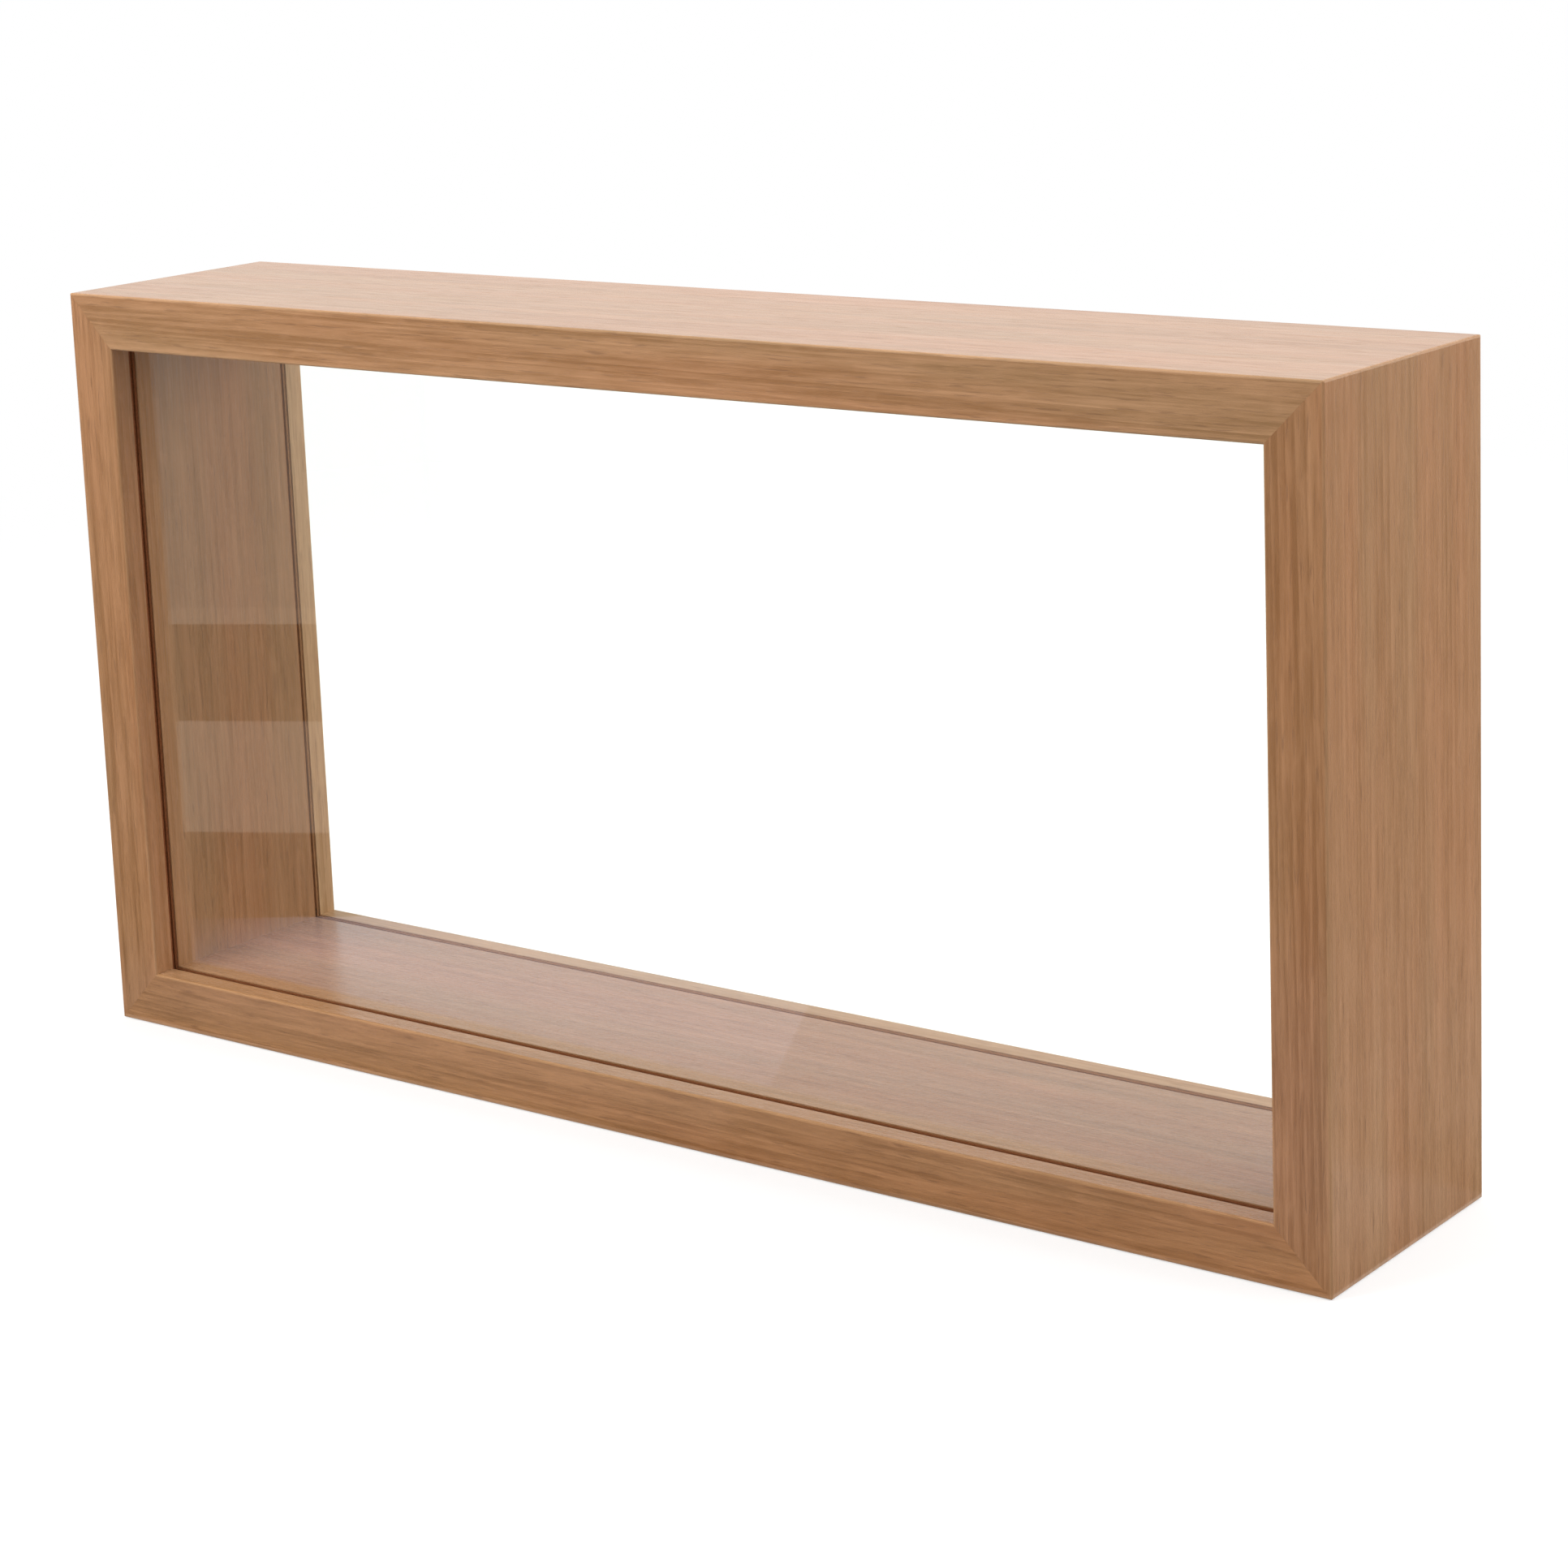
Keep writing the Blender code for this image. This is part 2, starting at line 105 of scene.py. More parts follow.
# Oak, rift cut: straight, close lines that run the length of each board
OAK_IOR = 1.5
OAK_EARLY = "#C0906A"
OAK_LATE = "#8E623A"
OAK_WARM = "#AE7850"
OAK_GREY = "#A08460"
OAK_HUE_SHARE = 0.28
# The insert's rails are solid oak, paler than the veneer and only oiled, so they shine less.
RAIL_EARLY = "#DCB188"
RAIL_LATE = "#A4784C"
VENEER_ROUGHNESS = 0.22
RAIL_ROUGHNESS = 0.38

# Where each board's leaf lies in the flitch, in steps
LEAVES = {"top": 1.0, "bottom": 2.0, "left": 3.4, "right": 4.0}
LEAF_STEP = Vector((0.7, 0.23, 0.41))

# Each pattern's width across the grain, how many times longer it runs, its levels of detail,
# and the noise values that count as none of it and as all of it. Real vessels are 0.3 mm wide.
# At that width the render loses them, so they are drawn coarser, at 0.8 mm.
OAK_PATTERNS = {
    "drift": (38 * MM, 9, 2.0, 0.36, 0.64),
    "band": (11 * MM, 40, 2.0, 0.38, 0.62),
    "streak": (5 * MM, 60, 4.0, 0.36, 0.64),
    "flame": (3.4 * MM, 9, 3.0, 0.40, 0.66),
    "fibre": (1.1 * MM, 45, 3.0, 0.32, 0.68),
    "vessel": (0.8 * MM, 16, 1.0, 0.56, 0.70),
    "ray": (5 * MM, 2.2, 1.0, 0.62, 0.72),
}
PATTERN_ROUGHNESS = 0.6

# Growth rings. The diagonal wave repeats on a face every 2 pi / (10 x its scale).
RING_SPACING = 3.9 * MM
RING_WANDER = 12 * MM
RING_STRETCH = 80
RING_DISTORTION = 9.0
RING_LEVELS = 4.0
RING_ROUGHNESS = 0.55
WAVE_RATE = 10
# Oak is ring porous: its vessels crowd into the early wood, the first part of each ring.
EARLY_WOOD_END = 0.15
LATE_WOOD_START = 0.75
LATE_WOOD_PORES = 0.25

# The line that the eye sees is the rings and three finer patterns together.
RING_WEIGHT = 0.34
LINE_WEIGHTS = {"streak": 0.30, "fibre": 0.30, "flame": 0.22}
LINES_MEAN = 0.45

# Marks on the wood: their colours, how strongly each colours it, and how much each dulls it
OAK_PORE = "#6E4A2C"
# The arris tint is partly worn lacquer and partly a painted highlight that lightens every edge.
OAK_WORN_AND_HIGHLIGHT = "#C8A278"
PORE_TINT = 0.45
RAY_TINT = 0.16
ARRIS_WEAR_AND_HIGHLIGHT_TINT = 0.25
FIBRE_DULLNESS = 0.08
PORE_DULLNESS = 0.10
ARRIS_DULLNESS = 0.25
# A flat face has a normal whose parts add up to 1. At an arris they add up to more.
ARRIS_FROM = 1.05
ARRIS_FULL = 1.3
PORE_DEPTH = 0.06 * MM
FIBRE_HEIGHT = -0.2
OAK_RELIEF_STRENGTH = 0.09

# Each board is veneered fibreboard. Its edges are lipped with a strip of another leaf, with
# bolder lines and a tint that is partly its own tone and partly painted shade: the top lipping
# stays lightest, and the others are darkened and warmed.
VENEER_THICKNESS = 0.6 * MM
LIPPING_THICKNESS = 1.0 * MM
LIPPING_TONES_AND_SHADE = {"top": "#FFFFFC", "bottom": "#F8EDDB", "left": "#F4EEE5", "right": "#F5F0E8"}
LIPPING_BOLDNESS = 0.75
# The core colours are darker than the fibreboard's own, as painted shade in the grooves and rebates.
SHADED_FIBREBOARD = "#6A4527"
SHADED_FIBREBOARD_DARK = "#553419"
CORE_DULLNESS = 0.5


def oak_leaf(tree, upright, leaf):
    """A board's depth and width axes, and its place in the flitch with the grain along X."""
    place = add_node(tree, "ShaderNodeTexCoord").outputs["Object"]
    axes = add_node(tree, "ShaderNodeSeparateXYZ", links={0: place}).outputs
    along, across = (axes["Z"], axes["X"]) if upright else (axes["X"], axes["Z"])
    board = add_node(tree, "ShaderNodeCombineXYZ", links={"X": along, "Y": axes["Y"], "Z": across})
    sheet = add_node(tree, "ShaderNodeVectorMath", {"operation": "ADD", 1: LEAF_STEP * leaf}, {0: board})
    return axes["Y"], across, sheet


def oak_pattern(tree, sheet, label):
    """How much of one pattern shows. It is drawn with its length shortened, so it runs long."""
    width, stretch, levels, none, full = OAK_PATTERNS[label]
    shortened = add_node(
        tree, "ShaderNodeVectorMath", {"operation": "MULTIPLY", 1: (1 / stretch, 1, 1)}, {0: sheet})
    noise = add_node(
        tree, "ShaderNodeTexNoise", {"Scale": 1 / width, "Detail": levels, "Roughness": PATTERN_ROUGHNESS},
        {"Vector": shortened})
    return add_node(tree, "ShaderNodeMapRange", {"From Min": none, "From Max": full}, {"Value": noise})


def growth_rings(tree, sheet):
    """A diagonal wave, which shows as lines on both the face and the edge of a board."""
    scale = math.tau / WAVE_RATE / RING_SPACING
    shortened = add_node(
        tree, "ShaderNodeVectorMath", {"operation": "MULTIPLY", 1: (1 / RING_STRETCH, 1, 1)}, {0: sheet})
    return add_node(
        tree, "ShaderNodeTexWave",
        {"wave_type": "BANDS", "bands_direction": "DIAGONAL", "wave_profile": "SAW", "Scale": scale,
         "Distortion": RING_DISTORTION, "Detail": RING_LEVELS, "Detail Scale": 1 / RING_WANDER / scale,
         "Detail Roughness": RING_ROUGHNESS},
        {"Vector": shortened}).outputs["Fac"]


def grain_lines(tree, rings, share):
    """The rings, which fade in and out with the bands, and the finer lines between them."""
    banded = add_node(tree, "ShaderNodeMath", {"operation": "MULTIPLY"}, {0: rings, 1: share["band"]})
    lines = add_node(tree, "ShaderNodeMath", {"operation": "MULTIPLY", 1: RING_WEIGHT}, {0: banded})
    for label, weight in LINE_WEIGHTS.items():
        lines = add_node(
            tree, "ShaderNodeMath", {"operation": "MULTIPLY_ADD", 1: weight}, {0: share[label], 2: lines})
    return lines


def open_pores(tree, rings, vessels):
    """Vessels, thinned out towards the late wood of each ring."""
    early_wood = add_node(
        tree, "ShaderNodeMapRange",
        {"From Min": EARLY_WOOD_END, "From Max": LATE_WOOD_START, "To Min": 1.0, "To Max": LATE_WOOD_PORES},
        {"Value": rings})
    return add_node(tree, "ShaderNodeMath", {"operation": "MULTIPLY"}, {0: vessels, 1: early_wood})


def worn_and_highlit_arris(tree):
    """How much a place lies on an arris, from the tilt of its face."""
    normal = add_node(tree, "ShaderNodeNewGeometry").outputs["True Normal"]
    turned = add_node(tree, "ShaderNodeVectorMath", {"operation": "ABSOLUTE"}, {0: normal})
    parts_sum = add_node(
        tree, "ShaderNodeVectorMath", {"operation": "DOT_PRODUCT", 1: (1, 1, 1)},
        {0: turned}).outputs["Value"]
    return add_node(
        tree, "ShaderNodeMapRange", {"From Min": ARRIS_FROM, "From Max": ARRIS_FULL}, {"Value": parts_sum})


def lipped_edge(tree, depth):
    """1 within a lipping's thickness of a board's front and back edges, 0 elsewhere."""
    distance = add_node(tree, "ShaderNodeMath", {"operation": "ABSOLUTE"}, {0: depth})
    return add_node(
        tree, "ShaderNodeMath", {"operation": "GREATER_THAN", 1: CASE_HALF.y - LIPPING_THICKNESS},
        {0: distance})


def bolder_lines(tree, lines, lipped):
    """Lines that lie further from their mean on a lipping."""
    bolder = add_node(tree, "ShaderNodeMath", {"operation": "MULTIPLY", 1: LIPPING_BOLDNESS}, {0: lipped})
    apart = add_node(tree, "ShaderNodeMath", {"operation": "SUBTRACT", 1: LINES_MEAN}, {0: lines})
    return add_node(tree, "ShaderNodeMath", {"operation": "MULTIPLY_ADD"}, {0: apart, 1: bolder, 2: lines})


def bare_core(tree, across, lipped, core):
    """1 where a cut has gone through a board's veneer, 0 on the veneer and the lipping.

    The core is its near and far distance from the case's middle, and that middle."""
    inner, outer, middle = core
    from_middle = add_node(tree, "ShaderNodeMath", {"operation": "SUBTRACT", 1: middle}, {0: across})
    outward = add_node(tree, "ShaderNodeMath", {"operation": "ABSOLUTE"}, {0: from_middle})
    under_veneer = add_node(
        tree, "ShaderNodeMath",
        {"operation": "COMPARE", 1: (outer + inner) / 2, 2: (outer - inner) / 2 - VENEER_THICKNESS},
        {0: outward})
    return add_node(
        tree, "ShaderNodeMath", {"operation": "SUBTRACT", "use_clamp": True}, {0: under_veneer, 1: lipped})


def oak(name, upright, leaf, early, late, least_roughness, lipping=None, core=None):
    """Rift-cut oak under satin lacquer, with its grain along X, or along Z if upright.

    The lacquer leaves the pores open, so the face is smooth to the eye and faintly lined, and
    goes pale where it is seen at a low angle. With a lipping tint the oak is a veneer with lipped
    edges, and what is cut deeper into the board shows its fibreboard core."""
    material, tree = new_material(name)
    depth, across, sheet = oak_leaf(tree, upright, leaf)
    share = {label: oak_pattern(tree, sheet, label) for label in OAK_PATTERNS}
    rings = growth_rings(tree, sheet)
    lines = grain_lines(tree, rings, share)
    if lipping:
        lipped = lipped_edge(tree, depth)
        lines = bolder_lines(tree, lines, lipped)
    pores = open_pores(tree, rings, share["vessel"])
    arris = worn_and_highlit_arris(tree)

    hue = add_node(
        tree, "ShaderNodeMix", {"data_type": "RGBA", 6: linear(OAK_WARM), 7: linear(OAK_GREY)},
        {0: share["drift"]}).outputs[2]
    colour = add_node(
        tree, "ShaderNodeMix", {"data_type": "RGBA", 6: linear(early), 7: linear(late)},
        {0: lines}).outputs[2]
    colour = add_node(
        tree, "ShaderNodeMix", {"data_type": "RGBA", 0: OAK_HUE_SHARE}, {6: colour, 7: hue}).outputs[2]
    # The arris tint paints a highlight along the edges as well as their wear.
    tinted = ((pores, PORE_TINT, OAK_PORE), (share["ray"], RAY_TINT, early), (arris, ARRIS_WEAR_AND_HIGHLIGHT_TINT, OAK_WORN_AND_HIGHLIGHT))
    for marks, strength, tint in tinted:
        amount = add_node(tree, "ShaderNodeMath", {"operation": "MULTIPLY", 1: strength}, {0: marks})
        colour = add_node(
            tree, "ShaderNodeMix", {"data_type": "RGBA", 7: linear(tint)}, {0: amount, 6: colour}).outputs[2]

    roughness = add_node(
        tree, "ShaderNodeMath", {"operation": "MULTIPLY_ADD", 1: FIBRE_DULLNESS, 2: least_roughness},
        {0: share["fibre"]})
    for marks, dullness in ((pores, PORE_DULLNESS), (arris, ARRIS_DULLNESS)):
        roughness = add_node(
            tree, "ShaderNodeMath", {"operation": "MULTIPLY_ADD", 1: dullness}, {0: marks, 2: roughness})

    if lipping:
        # The lipping tint: partly the leaf's own tone, partly painted shade below the top.
        colour = add_node(
            tree, "ShaderNodeMix", {"data_type": "RGBA", "blend_type": "MULTIPLY", 7: linear(lipping)},
            {0: lipped, 6: colour}).outputs[2]
        bare = bare_core(tree, across, lipped, core)
        # The core colour, darkened as painted shade in the grooves and rebates where it shows.
        pressed = add_node(
            tree, "ShaderNodeMix", {"data_type": "RGBA", 6: linear(SHADED_FIBREBOARD), 7: linear(SHADED_FIBREBOARD_DARK)},
            {0: share["fibre"]}).outputs[2]
        colour = add_node(
            tree, "ShaderNodeMix", {"data_type": "RGBA"}, {0: bare, 6: colour, 7: pressed}).outputs[2]
        roughness = add_node(
            tree, "ShaderNodeMath", {"operation": "MULTIPLY_ADD", 1: CORE_DULLNESS}, {0: bare, 2: roughness})

    height = add_node(
        tree, "ShaderNodeMath", {"operation": "MULTIPLY_ADD", 1: FIBRE_HEIGHT}, {0: share["fibre"], 2: pores})
    bump = add_node(
        tree, "ShaderNodeBump", {"invert": True, "Strength": OAK_RELIEF_STRENGTH, "Distance": PORE_DEPTH},
        {"Height": height})
    shader = add_node(
        tree, "ShaderNodeBsdfPrincipled", {"IOR": OAK_IOR},
        {"Base Color": colour, "Roughness": roughness, "Normal": bump})
    add_node(tree, "ShaderNodeOutputMaterial", links={"Surface": shader})
    return material


# Materials with one pattern: how large its grain is and how that is stretched, its levels of
# detail, the noise values where the second colour starts and is full, the colour and roughness
# at both, the relief's depth, and the shine. Cut foam and raw beech have no skin to shine.
SIMPLE_FINISHES = {
    # Beech, pressed into biscuits and sawn into feathers: pinkish, matt, with short dark rays
    "pressed_beech": {
        "grain": 0.6 * MM, "stretch": (0.25, 1, 1), "levels": 3.0, "start": 0.40, "full": 0.70,
        "colours": ("#C9A57C", "#AD8560"), "roughness": (0.55, 0.72), "relief": 0.05 * MM, "shine": 0.25},
    # EPDM setting blocks: near black, greyed in patches by bloom
    "moulded_rubber": {
        "grain": 0.8 * MM, "stretch": (1, 1, 1), "levels": 4.0, "start": 0.45, "full": 0.75,
        "colours": ("#1E1E1F", "#3A3A3B"), "roughness": (0.60, 0.85), "relief": 0.02 * MM, "shine": 0.5},
    # Glazing tape: brown foam whose cut cells give it a dull, pitted edge. At the rear pane it is
    # painted paler, a painted haze for the reflection that lies over that line.
    "foam_glazing_tape": {
        "grain": 0.4 * MM, "stretch": (1, 1, 1), "levels": 2.0, "start": 0.35, "full": 0.65,
        "colours": ("#8A5434", "#744226"), "roughness": (0.80, 0.95), "relief": 0.08 * MM, "shine": 0.1},
    # Paler than the front tape only as a painted haze over the rear line.
    "foam_tape_with_painted_haze": {
        "grain": 0.4 * MM, "stretch": (1, 1, 1), "levels": 2.0, "start": 0.35, "full": 0.65,
        "colours": ("#B0805A", "#9A6C48"), "roughness": (0.80, 0.95), "relief": 0.08 * MM, "shine": 0.1},
    # Wood glue that has filled a mitre and been sanded flush: a thin line, a little darker than oak
    "dried_wood_glue": {
        "grain": 1.5 * MM, "stretch": (1, 1, 1), "levels": 3.0, "start": 0.35, "full": 0.65,
        "colours": ("#A87A52", "#936640"), "roughness": (0.35, 0.50), "relief": 0.01 * MM, "shine": 0.5},
}
SIMPLE_IOR = 1.5
SIMPLE_RELIEF_STRENGTH = 0.5


def simple_finish(name):
    """A matt material with one grain that its colour, roughness and relief share."""
    finish = SIMPLE_FINISHES[name]
    first, second = (linear(colour) for colour in finish["colours"])
    smooth, rough = finish["roughness"]
    material, tree = new_material(name)
    place = add_node(tree, "ShaderNodeTexCoord").outputs["Object"]
    stretched = add_node(
        tree, "ShaderNodeVectorMath", {"operation": "MULTIPLY", 1: finish["stretch"]}, {0: place})
    grain = add_node(
        tree, "ShaderNodeTexNoise", {"Scale": 1 / finish["grain"], "Detail": finish["levels"]},
        {"Vector": stretched}).outputs["Fac"]
    share = add_node(
        tree, "ShaderNodeMapRange", {"From Min": finish["start"], "From Max": finish["full"]},
        {"Value": grain})
    colour = add_node(
        tree, "ShaderNodeMix", {"data_type": "RGBA", 6: first, 7: second}, {0: share}).outputs[2]
    roughness = add_node(tree, "ShaderNodeMapRange", {"To Min": smooth, "To Max": rough}, {"Value": share})
    bump = add_node(
        tree, "ShaderNodeBump", {"Strength": SIMPLE_RELIEF_STRENGTH, "Distance": finish["relief"]},
        {"Height": grain})
    shader = add_node(
        tree, "ShaderNodeBsdfPrincipled", {"IOR": SIMPLE_IOR, "Specular IOR Level": finish["shine"]},
        {"Base Color": colour, "Roughness": roughness, "Normal": bump})
    add_node(tree, "ShaderNodeOutputMaterial", links={"Surface": shader})
    return material


# Float glass, cut and seamed: clear face on, sea green at its edges
GLASS_CLEAR = "#FCFFFD"
GLASS_EDGE = "#8DB3A0"
GLASS_IOR = 1.52
# A seam is the ground strip along a pane's edge.
GLASS_SEAM = 0.6 * MM
# The share of a lamp's light that a pane lets through
GLASS_PASS_SHARE = 0.93


def float_glass(name, pane):
    """Clear 2 mm float glass. Lamps and soft light go through it, less what a real pane keeps."""
    material, tree = new_material(name)
    low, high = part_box(pane)
    half = (high - low) / 2
    place = add_node(tree, "ShaderNodeTexCoord").outputs["Object"]
    centred = add_node(
        tree, "ShaderNodeVectorMath", {"operation": "SUBTRACT", 1: (low + high) / 2}, {0: place})
    apart = add_node(tree, "ShaderNodeVectorMath", {"operation": "ABSOLUTE"}, {0: centred})
    axes = add_node(tree, "ShaderNodeSeparateXYZ", links={0: apart}).outputs
    ends = add_node(
        tree, "ShaderNodeMath", {"operation": "GREATER_THAN", 1: half.x - GLASS_SEAM}, {0: axes["X"]})
    rims = add_node(
        tree, "ShaderNodeMath", {"operation": "GREATER_THAN", 1: half.z - GLASS_SEAM}, {0: axes["Z"]})
    edge = add_node(tree, "ShaderNodeMath", {"operation": "MAXIMUM"}, {0: ends, 1: rims})
    colour = add_node(
        tree, "ShaderNodeMix", {"data_type": "RGBA", 6: linear(GLASS_CLEAR), 7: linear(GLASS_EDGE)},
        {0: edge}).outputs[2]
    glass = add_node(
        tree, "ShaderNodeBsdfPrincipled", {"IOR": GLASS_IOR, "Roughness": 0.0, "Transmission Weight": 1.0},
        {"Base Color": colour})
    passed = add_node(tree, "ShaderNodeBsdfTransparent", {"Color": [GLASS_PASS_SHARE] * 3 + [1.0]})
    rays = add_node(tree, "ShaderNodeLightPath").outputs
    blurred = add_node(
        tree, "ShaderNodeMath", {"operation": "SUBTRACT", "use_clamp": True},
        {0: rays["Is Reflection Ray"], 1: rays["Is Singular Ray"]})
    passing = add_node(
        tree, "ShaderNodeMath", {"operation": "MAXIMUM"}, {0: rays["Is Shadow Ray"], 1: blurred})
    shader = add_node(tree, "ShaderNodeMixShader", links={0: passing, 1: glass, 2: passed})
    add_node(tree, "ShaderNodeOutputMaterial", links={"Surface": shader})
    return material


# Nickel plate over a sintered magnet: bright, warm grey, with fine scuffs
NICKEL_BRIGHT = "#CFCAC0"
NICKEL_SCUFFED = "#A39E95"
NICKEL_SCUFF = 0.7 * MM
SCUFF_LEVELS = 5.0
SCUFF_ROUGHNESS = 0.7
SCUFFS_FROM = 0.5
SCUFFS_FULL = 0.8
NICKEL_ROUGHNESS = (0.12, 0.38)


def nickel_plate():
    """Barrel-plated nickel: a soft mirror, clouded by scuffs where the discs have met."""
    smooth, rough = NICKEL_ROUGHNESS
    material, tree = new_material("nickel_plate")
    place = add_node(tree, "ShaderNodeTexCoord").outputs["Object"]
    scuffs = add_node(
        tree, "ShaderNodeTexNoise",
        {"Scale": 1 / NICKEL_SCUFF, "Detail": SCUFF_LEVELS, "Roughness": SCUFF_ROUGHNESS},
        {"Vector": place}).outputs["Fac"]
    share = add_node(
        tree, "ShaderNodeMapRange", {"From Min": SCUFFS_FROM, "From Max": SCUFFS_FULL}, {"Value": scuffs})
    colour = add_node(
        tree, "ShaderNodeMix", {"data_type": "RGBA", 6: linear(NICKEL_BRIGHT), 7: linear(NICKEL_SCUFFED)},
        {0: share}).outputs[2]
    roughness = add_node(tree, "ShaderNodeMapRange", {"To Min": smooth, "To Max": rough}, {"Value": scuffs})
    shader = add_node(
        tree, "ShaderNodeBsdfPrincipled", {"Metallic": 1.0}, {"Base Color": colour, "Roughness": roughness})
    add_node(tree, "ShaderNodeOutputMaterial", links={"Surface": shader})
    return material


def dress(node, material):
    """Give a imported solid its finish."""
    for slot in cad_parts[node].material_slots:
        slot.material = material


def dress_case():
    """Each board is its own piece of veneer, so its pattern starts at its own place."""
    beech = simple_finish("pressed_beech")
    rubber = simple_finish("moulded_rubber")
    front_foam = simple_finish("foam_glazing_tape")
    rear_foam_with_painted_haze = simple_finish("foam_tape_with_painted_haze")
    nickel = nickel_plate()
    for side, leaf in LEAVES.items():
        upright = side in ("left", "right")
        if upright:
            core = (INNER_HALF_WIDTH, CASE_HALF.x, CASE_MIDDLE.x)
        else:
            core = (INNER_HALF_HEIGHT, CASE_HALF.z, CASE_MIDDLE.z)
        veneer = oak(
            "oak_veneer_" + side, upright, leaf, OAK_EARLY, OAK_LATE, VENEER_ROUGHNESS,
            LIPPING_TONES_AND_SHADE[side], core)
        dress(side + "_board", veneer)
        solid = oak("solid_oak_" + side, upright, -leaf, RAIL_EARLY, RAIL_LATE, RAIL_ROUGHNESS)
        dress("insert_" + side + "_rail", solid)
        for place in ("1", "2"):
            dress("case_magnet_" + side + "_" + place, nickel)
            dress("insert_magnet_" + side + "_" + place, nickel)
    for corner in CORNERS:
        dress("insert_feather_" + corner, beech)
        for place in ("1", "2"):
            dress("biscuit_" + corner + "_" + place, beech)
    for side in ("left", "right"):
        dress("front_setting_block_" + side, rubber)
    for tape in ("front_tape_outer", "front_tape_inner"):
        dress(tape, front_foam)
    for tape in ("rear_seal", "rear_tape"):
        dress(tape, rear_foam_with_painted_haze)
    for pane in ("front_pane", "rear_pane"):
        dress(pane, float_glass("float_glass_" + pane, pane))


# Glue lines. Each keeps a share of its joint's gap clear on both sides, so no faces meet.
ON_PLANE = 0.01 * MM
GLUE_CLEAR_SHARE = 0.06


def make_glue_line(name, level_piece, upright_piece, corner, body, material):
    """Fill a mitre from one end face to the other, so that it shows as a fine line."""
    side_x, side_z = corner
    outward = Vector((side_x, 0, -side_z)).normalized()
    mesh = bmesh.new()
    mesh.from_mesh(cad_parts[level_piece].data)
    bmesh.ops.remove_doubles(mesh, verts=mesh.verts, dist=ON_PLANE)
    near = max(vertex.co.dot(outward) for vertex in mesh.verts)
    far = min(vertex.co.dot(outward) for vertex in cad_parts[upright_piece].data.vertices)
    inner = [f for f in mesh.faces if any(near - v.co.dot(outward) > ON_PLANE for v in f.verts)]
    bmesh.ops.delete(mesh, geom=inner, context="FACES")
    clear = (far - near) * GLUE_CLEAR_SHARE
    bmesh.ops.translate(mesh, vec=outward * clear, verts=mesh.verts)
    film = bmesh.ops.extrude_face_region(mesh, geom=mesh.faces[:])["geom"]
    lifted = [item for item in film if isinstance(item, bmesh.types.BMVert)]
    bmesh.ops.translate(mesh, vec=outward * (far - near - 2 * clear), verts=lifted)
    bmesh.ops.recalc_face_normals(mesh, faces=mesh.faces)
    data = bpy.data.meshes.new(name)
    mesh.to_mesh(data)
    mesh.free()
    data.materials.append(material)
    line = bpy.data.objects.new(name, data)
    bpy.context.scene.collection.objects.link(line)
    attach(line, body)


def make_glue_lines():
    """The mitres of the case and of the insert frame."""
    glue = simple_finish("dried_wood_glue")
    for name, corner in CORNERS.items():
        level, upright = name.split("_")
        make_glue_line(
            "glue_line_" + name, level + "_board", upright + "_board", corner, "case", glue)
        make_glue_line(
            "insert_glue_line_" + name, f"insert_{level}_rail", f"insert_{upright}_rail", corner,
            "rear_insert", glue)


# Studio
AMBIENT_STRENGTH = 0.62
FLOOR_HALF = 14.0
FLOOR_DROP = 0.3 * MM
FLOOR_COLOUR = "#B4B4B4"
FLOOR_GLOW = 0.57
# The floor is paper up to the near distance and plain white from the far one.
FLOOR_NEAR = 0.55
FLOOR_FAR = 1.7
FAR_FLOOR_LIGHT = 0.31
# What two panes take from the background is given back to rays that come through glass.
WINDOW_GAIN = 0.22
# Soft lamps by place, side of the square, and power
LAMPS = {
    "key_softbox": (Vector((-0.65, -1.15, 1.35)), 0.9, 20.8),
    "side_softbox": (Vector((1.4, 0.0, 1.4)), 0.9, 7),
    "top_softbox": (Vector((0.0, 0.6, 1.9)), 1.2, 8.5),
    "back_softbox": (Vector((1.0, 1.8, 0.6)), 1.4, 35),
}
# The painted reflection strips, and the sheet over them, lie this far above the case's underside.
CARD_RISE = 2 * MM
HAZE_RISE = 4 * MM
CARD_HALF_LENGTH = 2.5
# The floor is shaded next to the case, and the sheets' glow is painted darker there as painted shade.
CARD_SHADE_REACH = 0.09
CARD_SHADE_LEVEL = 0.25
# Painted reflections, which polished faces mirror besides the white room: glowing strips that only
# mirrors show, by the direction that they are crossed in, their near and far distance from the case's
# middle, their level and colour.
FRONT_CARDS = Vector((-0.46, -0.89, 0)).normalized()
SIDE_CARDS = Vector((0.80, 0.60, 0)).normalized()
BACK_CARDS = Vector((0, 1, 0))
COOL = "#E2E4FF"
WHITE = "#FAFBFF"
WARM = "#FFEFE0"
CREAM = "#FFF7EF"
CARDS = (
    (FRONT_CARDS, -0.30, 0.323, 0.75, COOL),
    (FRONT_CARDS, 0.321, 0.495, 0.05, WARM),
    (FRONT_CARDS, 0.495, 0.748, 0.62, WARM),
    (FRONT_CARDS, 0.748, 1.026, 0.07, WARM),
    (FRONT_CARDS, 1.026, 1.080, 0.62, WARM),
    (FRONT_CARDS, 1.080, 6.000, 0.46, CREAM),
    (SIDE_CARDS, 0.00, 0.60, 0.75, WHITE),
    (SIDE_CARDS, 0.60, 1.00, 0.35, WHITE),
    (SIDE_CARDS, 1.00, 6.00, 0.15, WHITE),
    (BACK_CARDS, 0.00, 6.00, 0.12, WHITE),
)
# A cool white glowing sheet at the left of the near strip, a painted reflection. Its right end shows
# as a step in the bottom's painted haze, and it fades out to the left.
HAZE_CORNERS = ((-0.55, -0.063), (0.032, -0.063), (-0.113, -0.335), (-0.132, -0.335))
HAZE_LEVEL = 1.2
HAZE_FADE_FROM = -0.40
HAZE_FADE_TO = -0.30
HAZE_FADED = 0.1


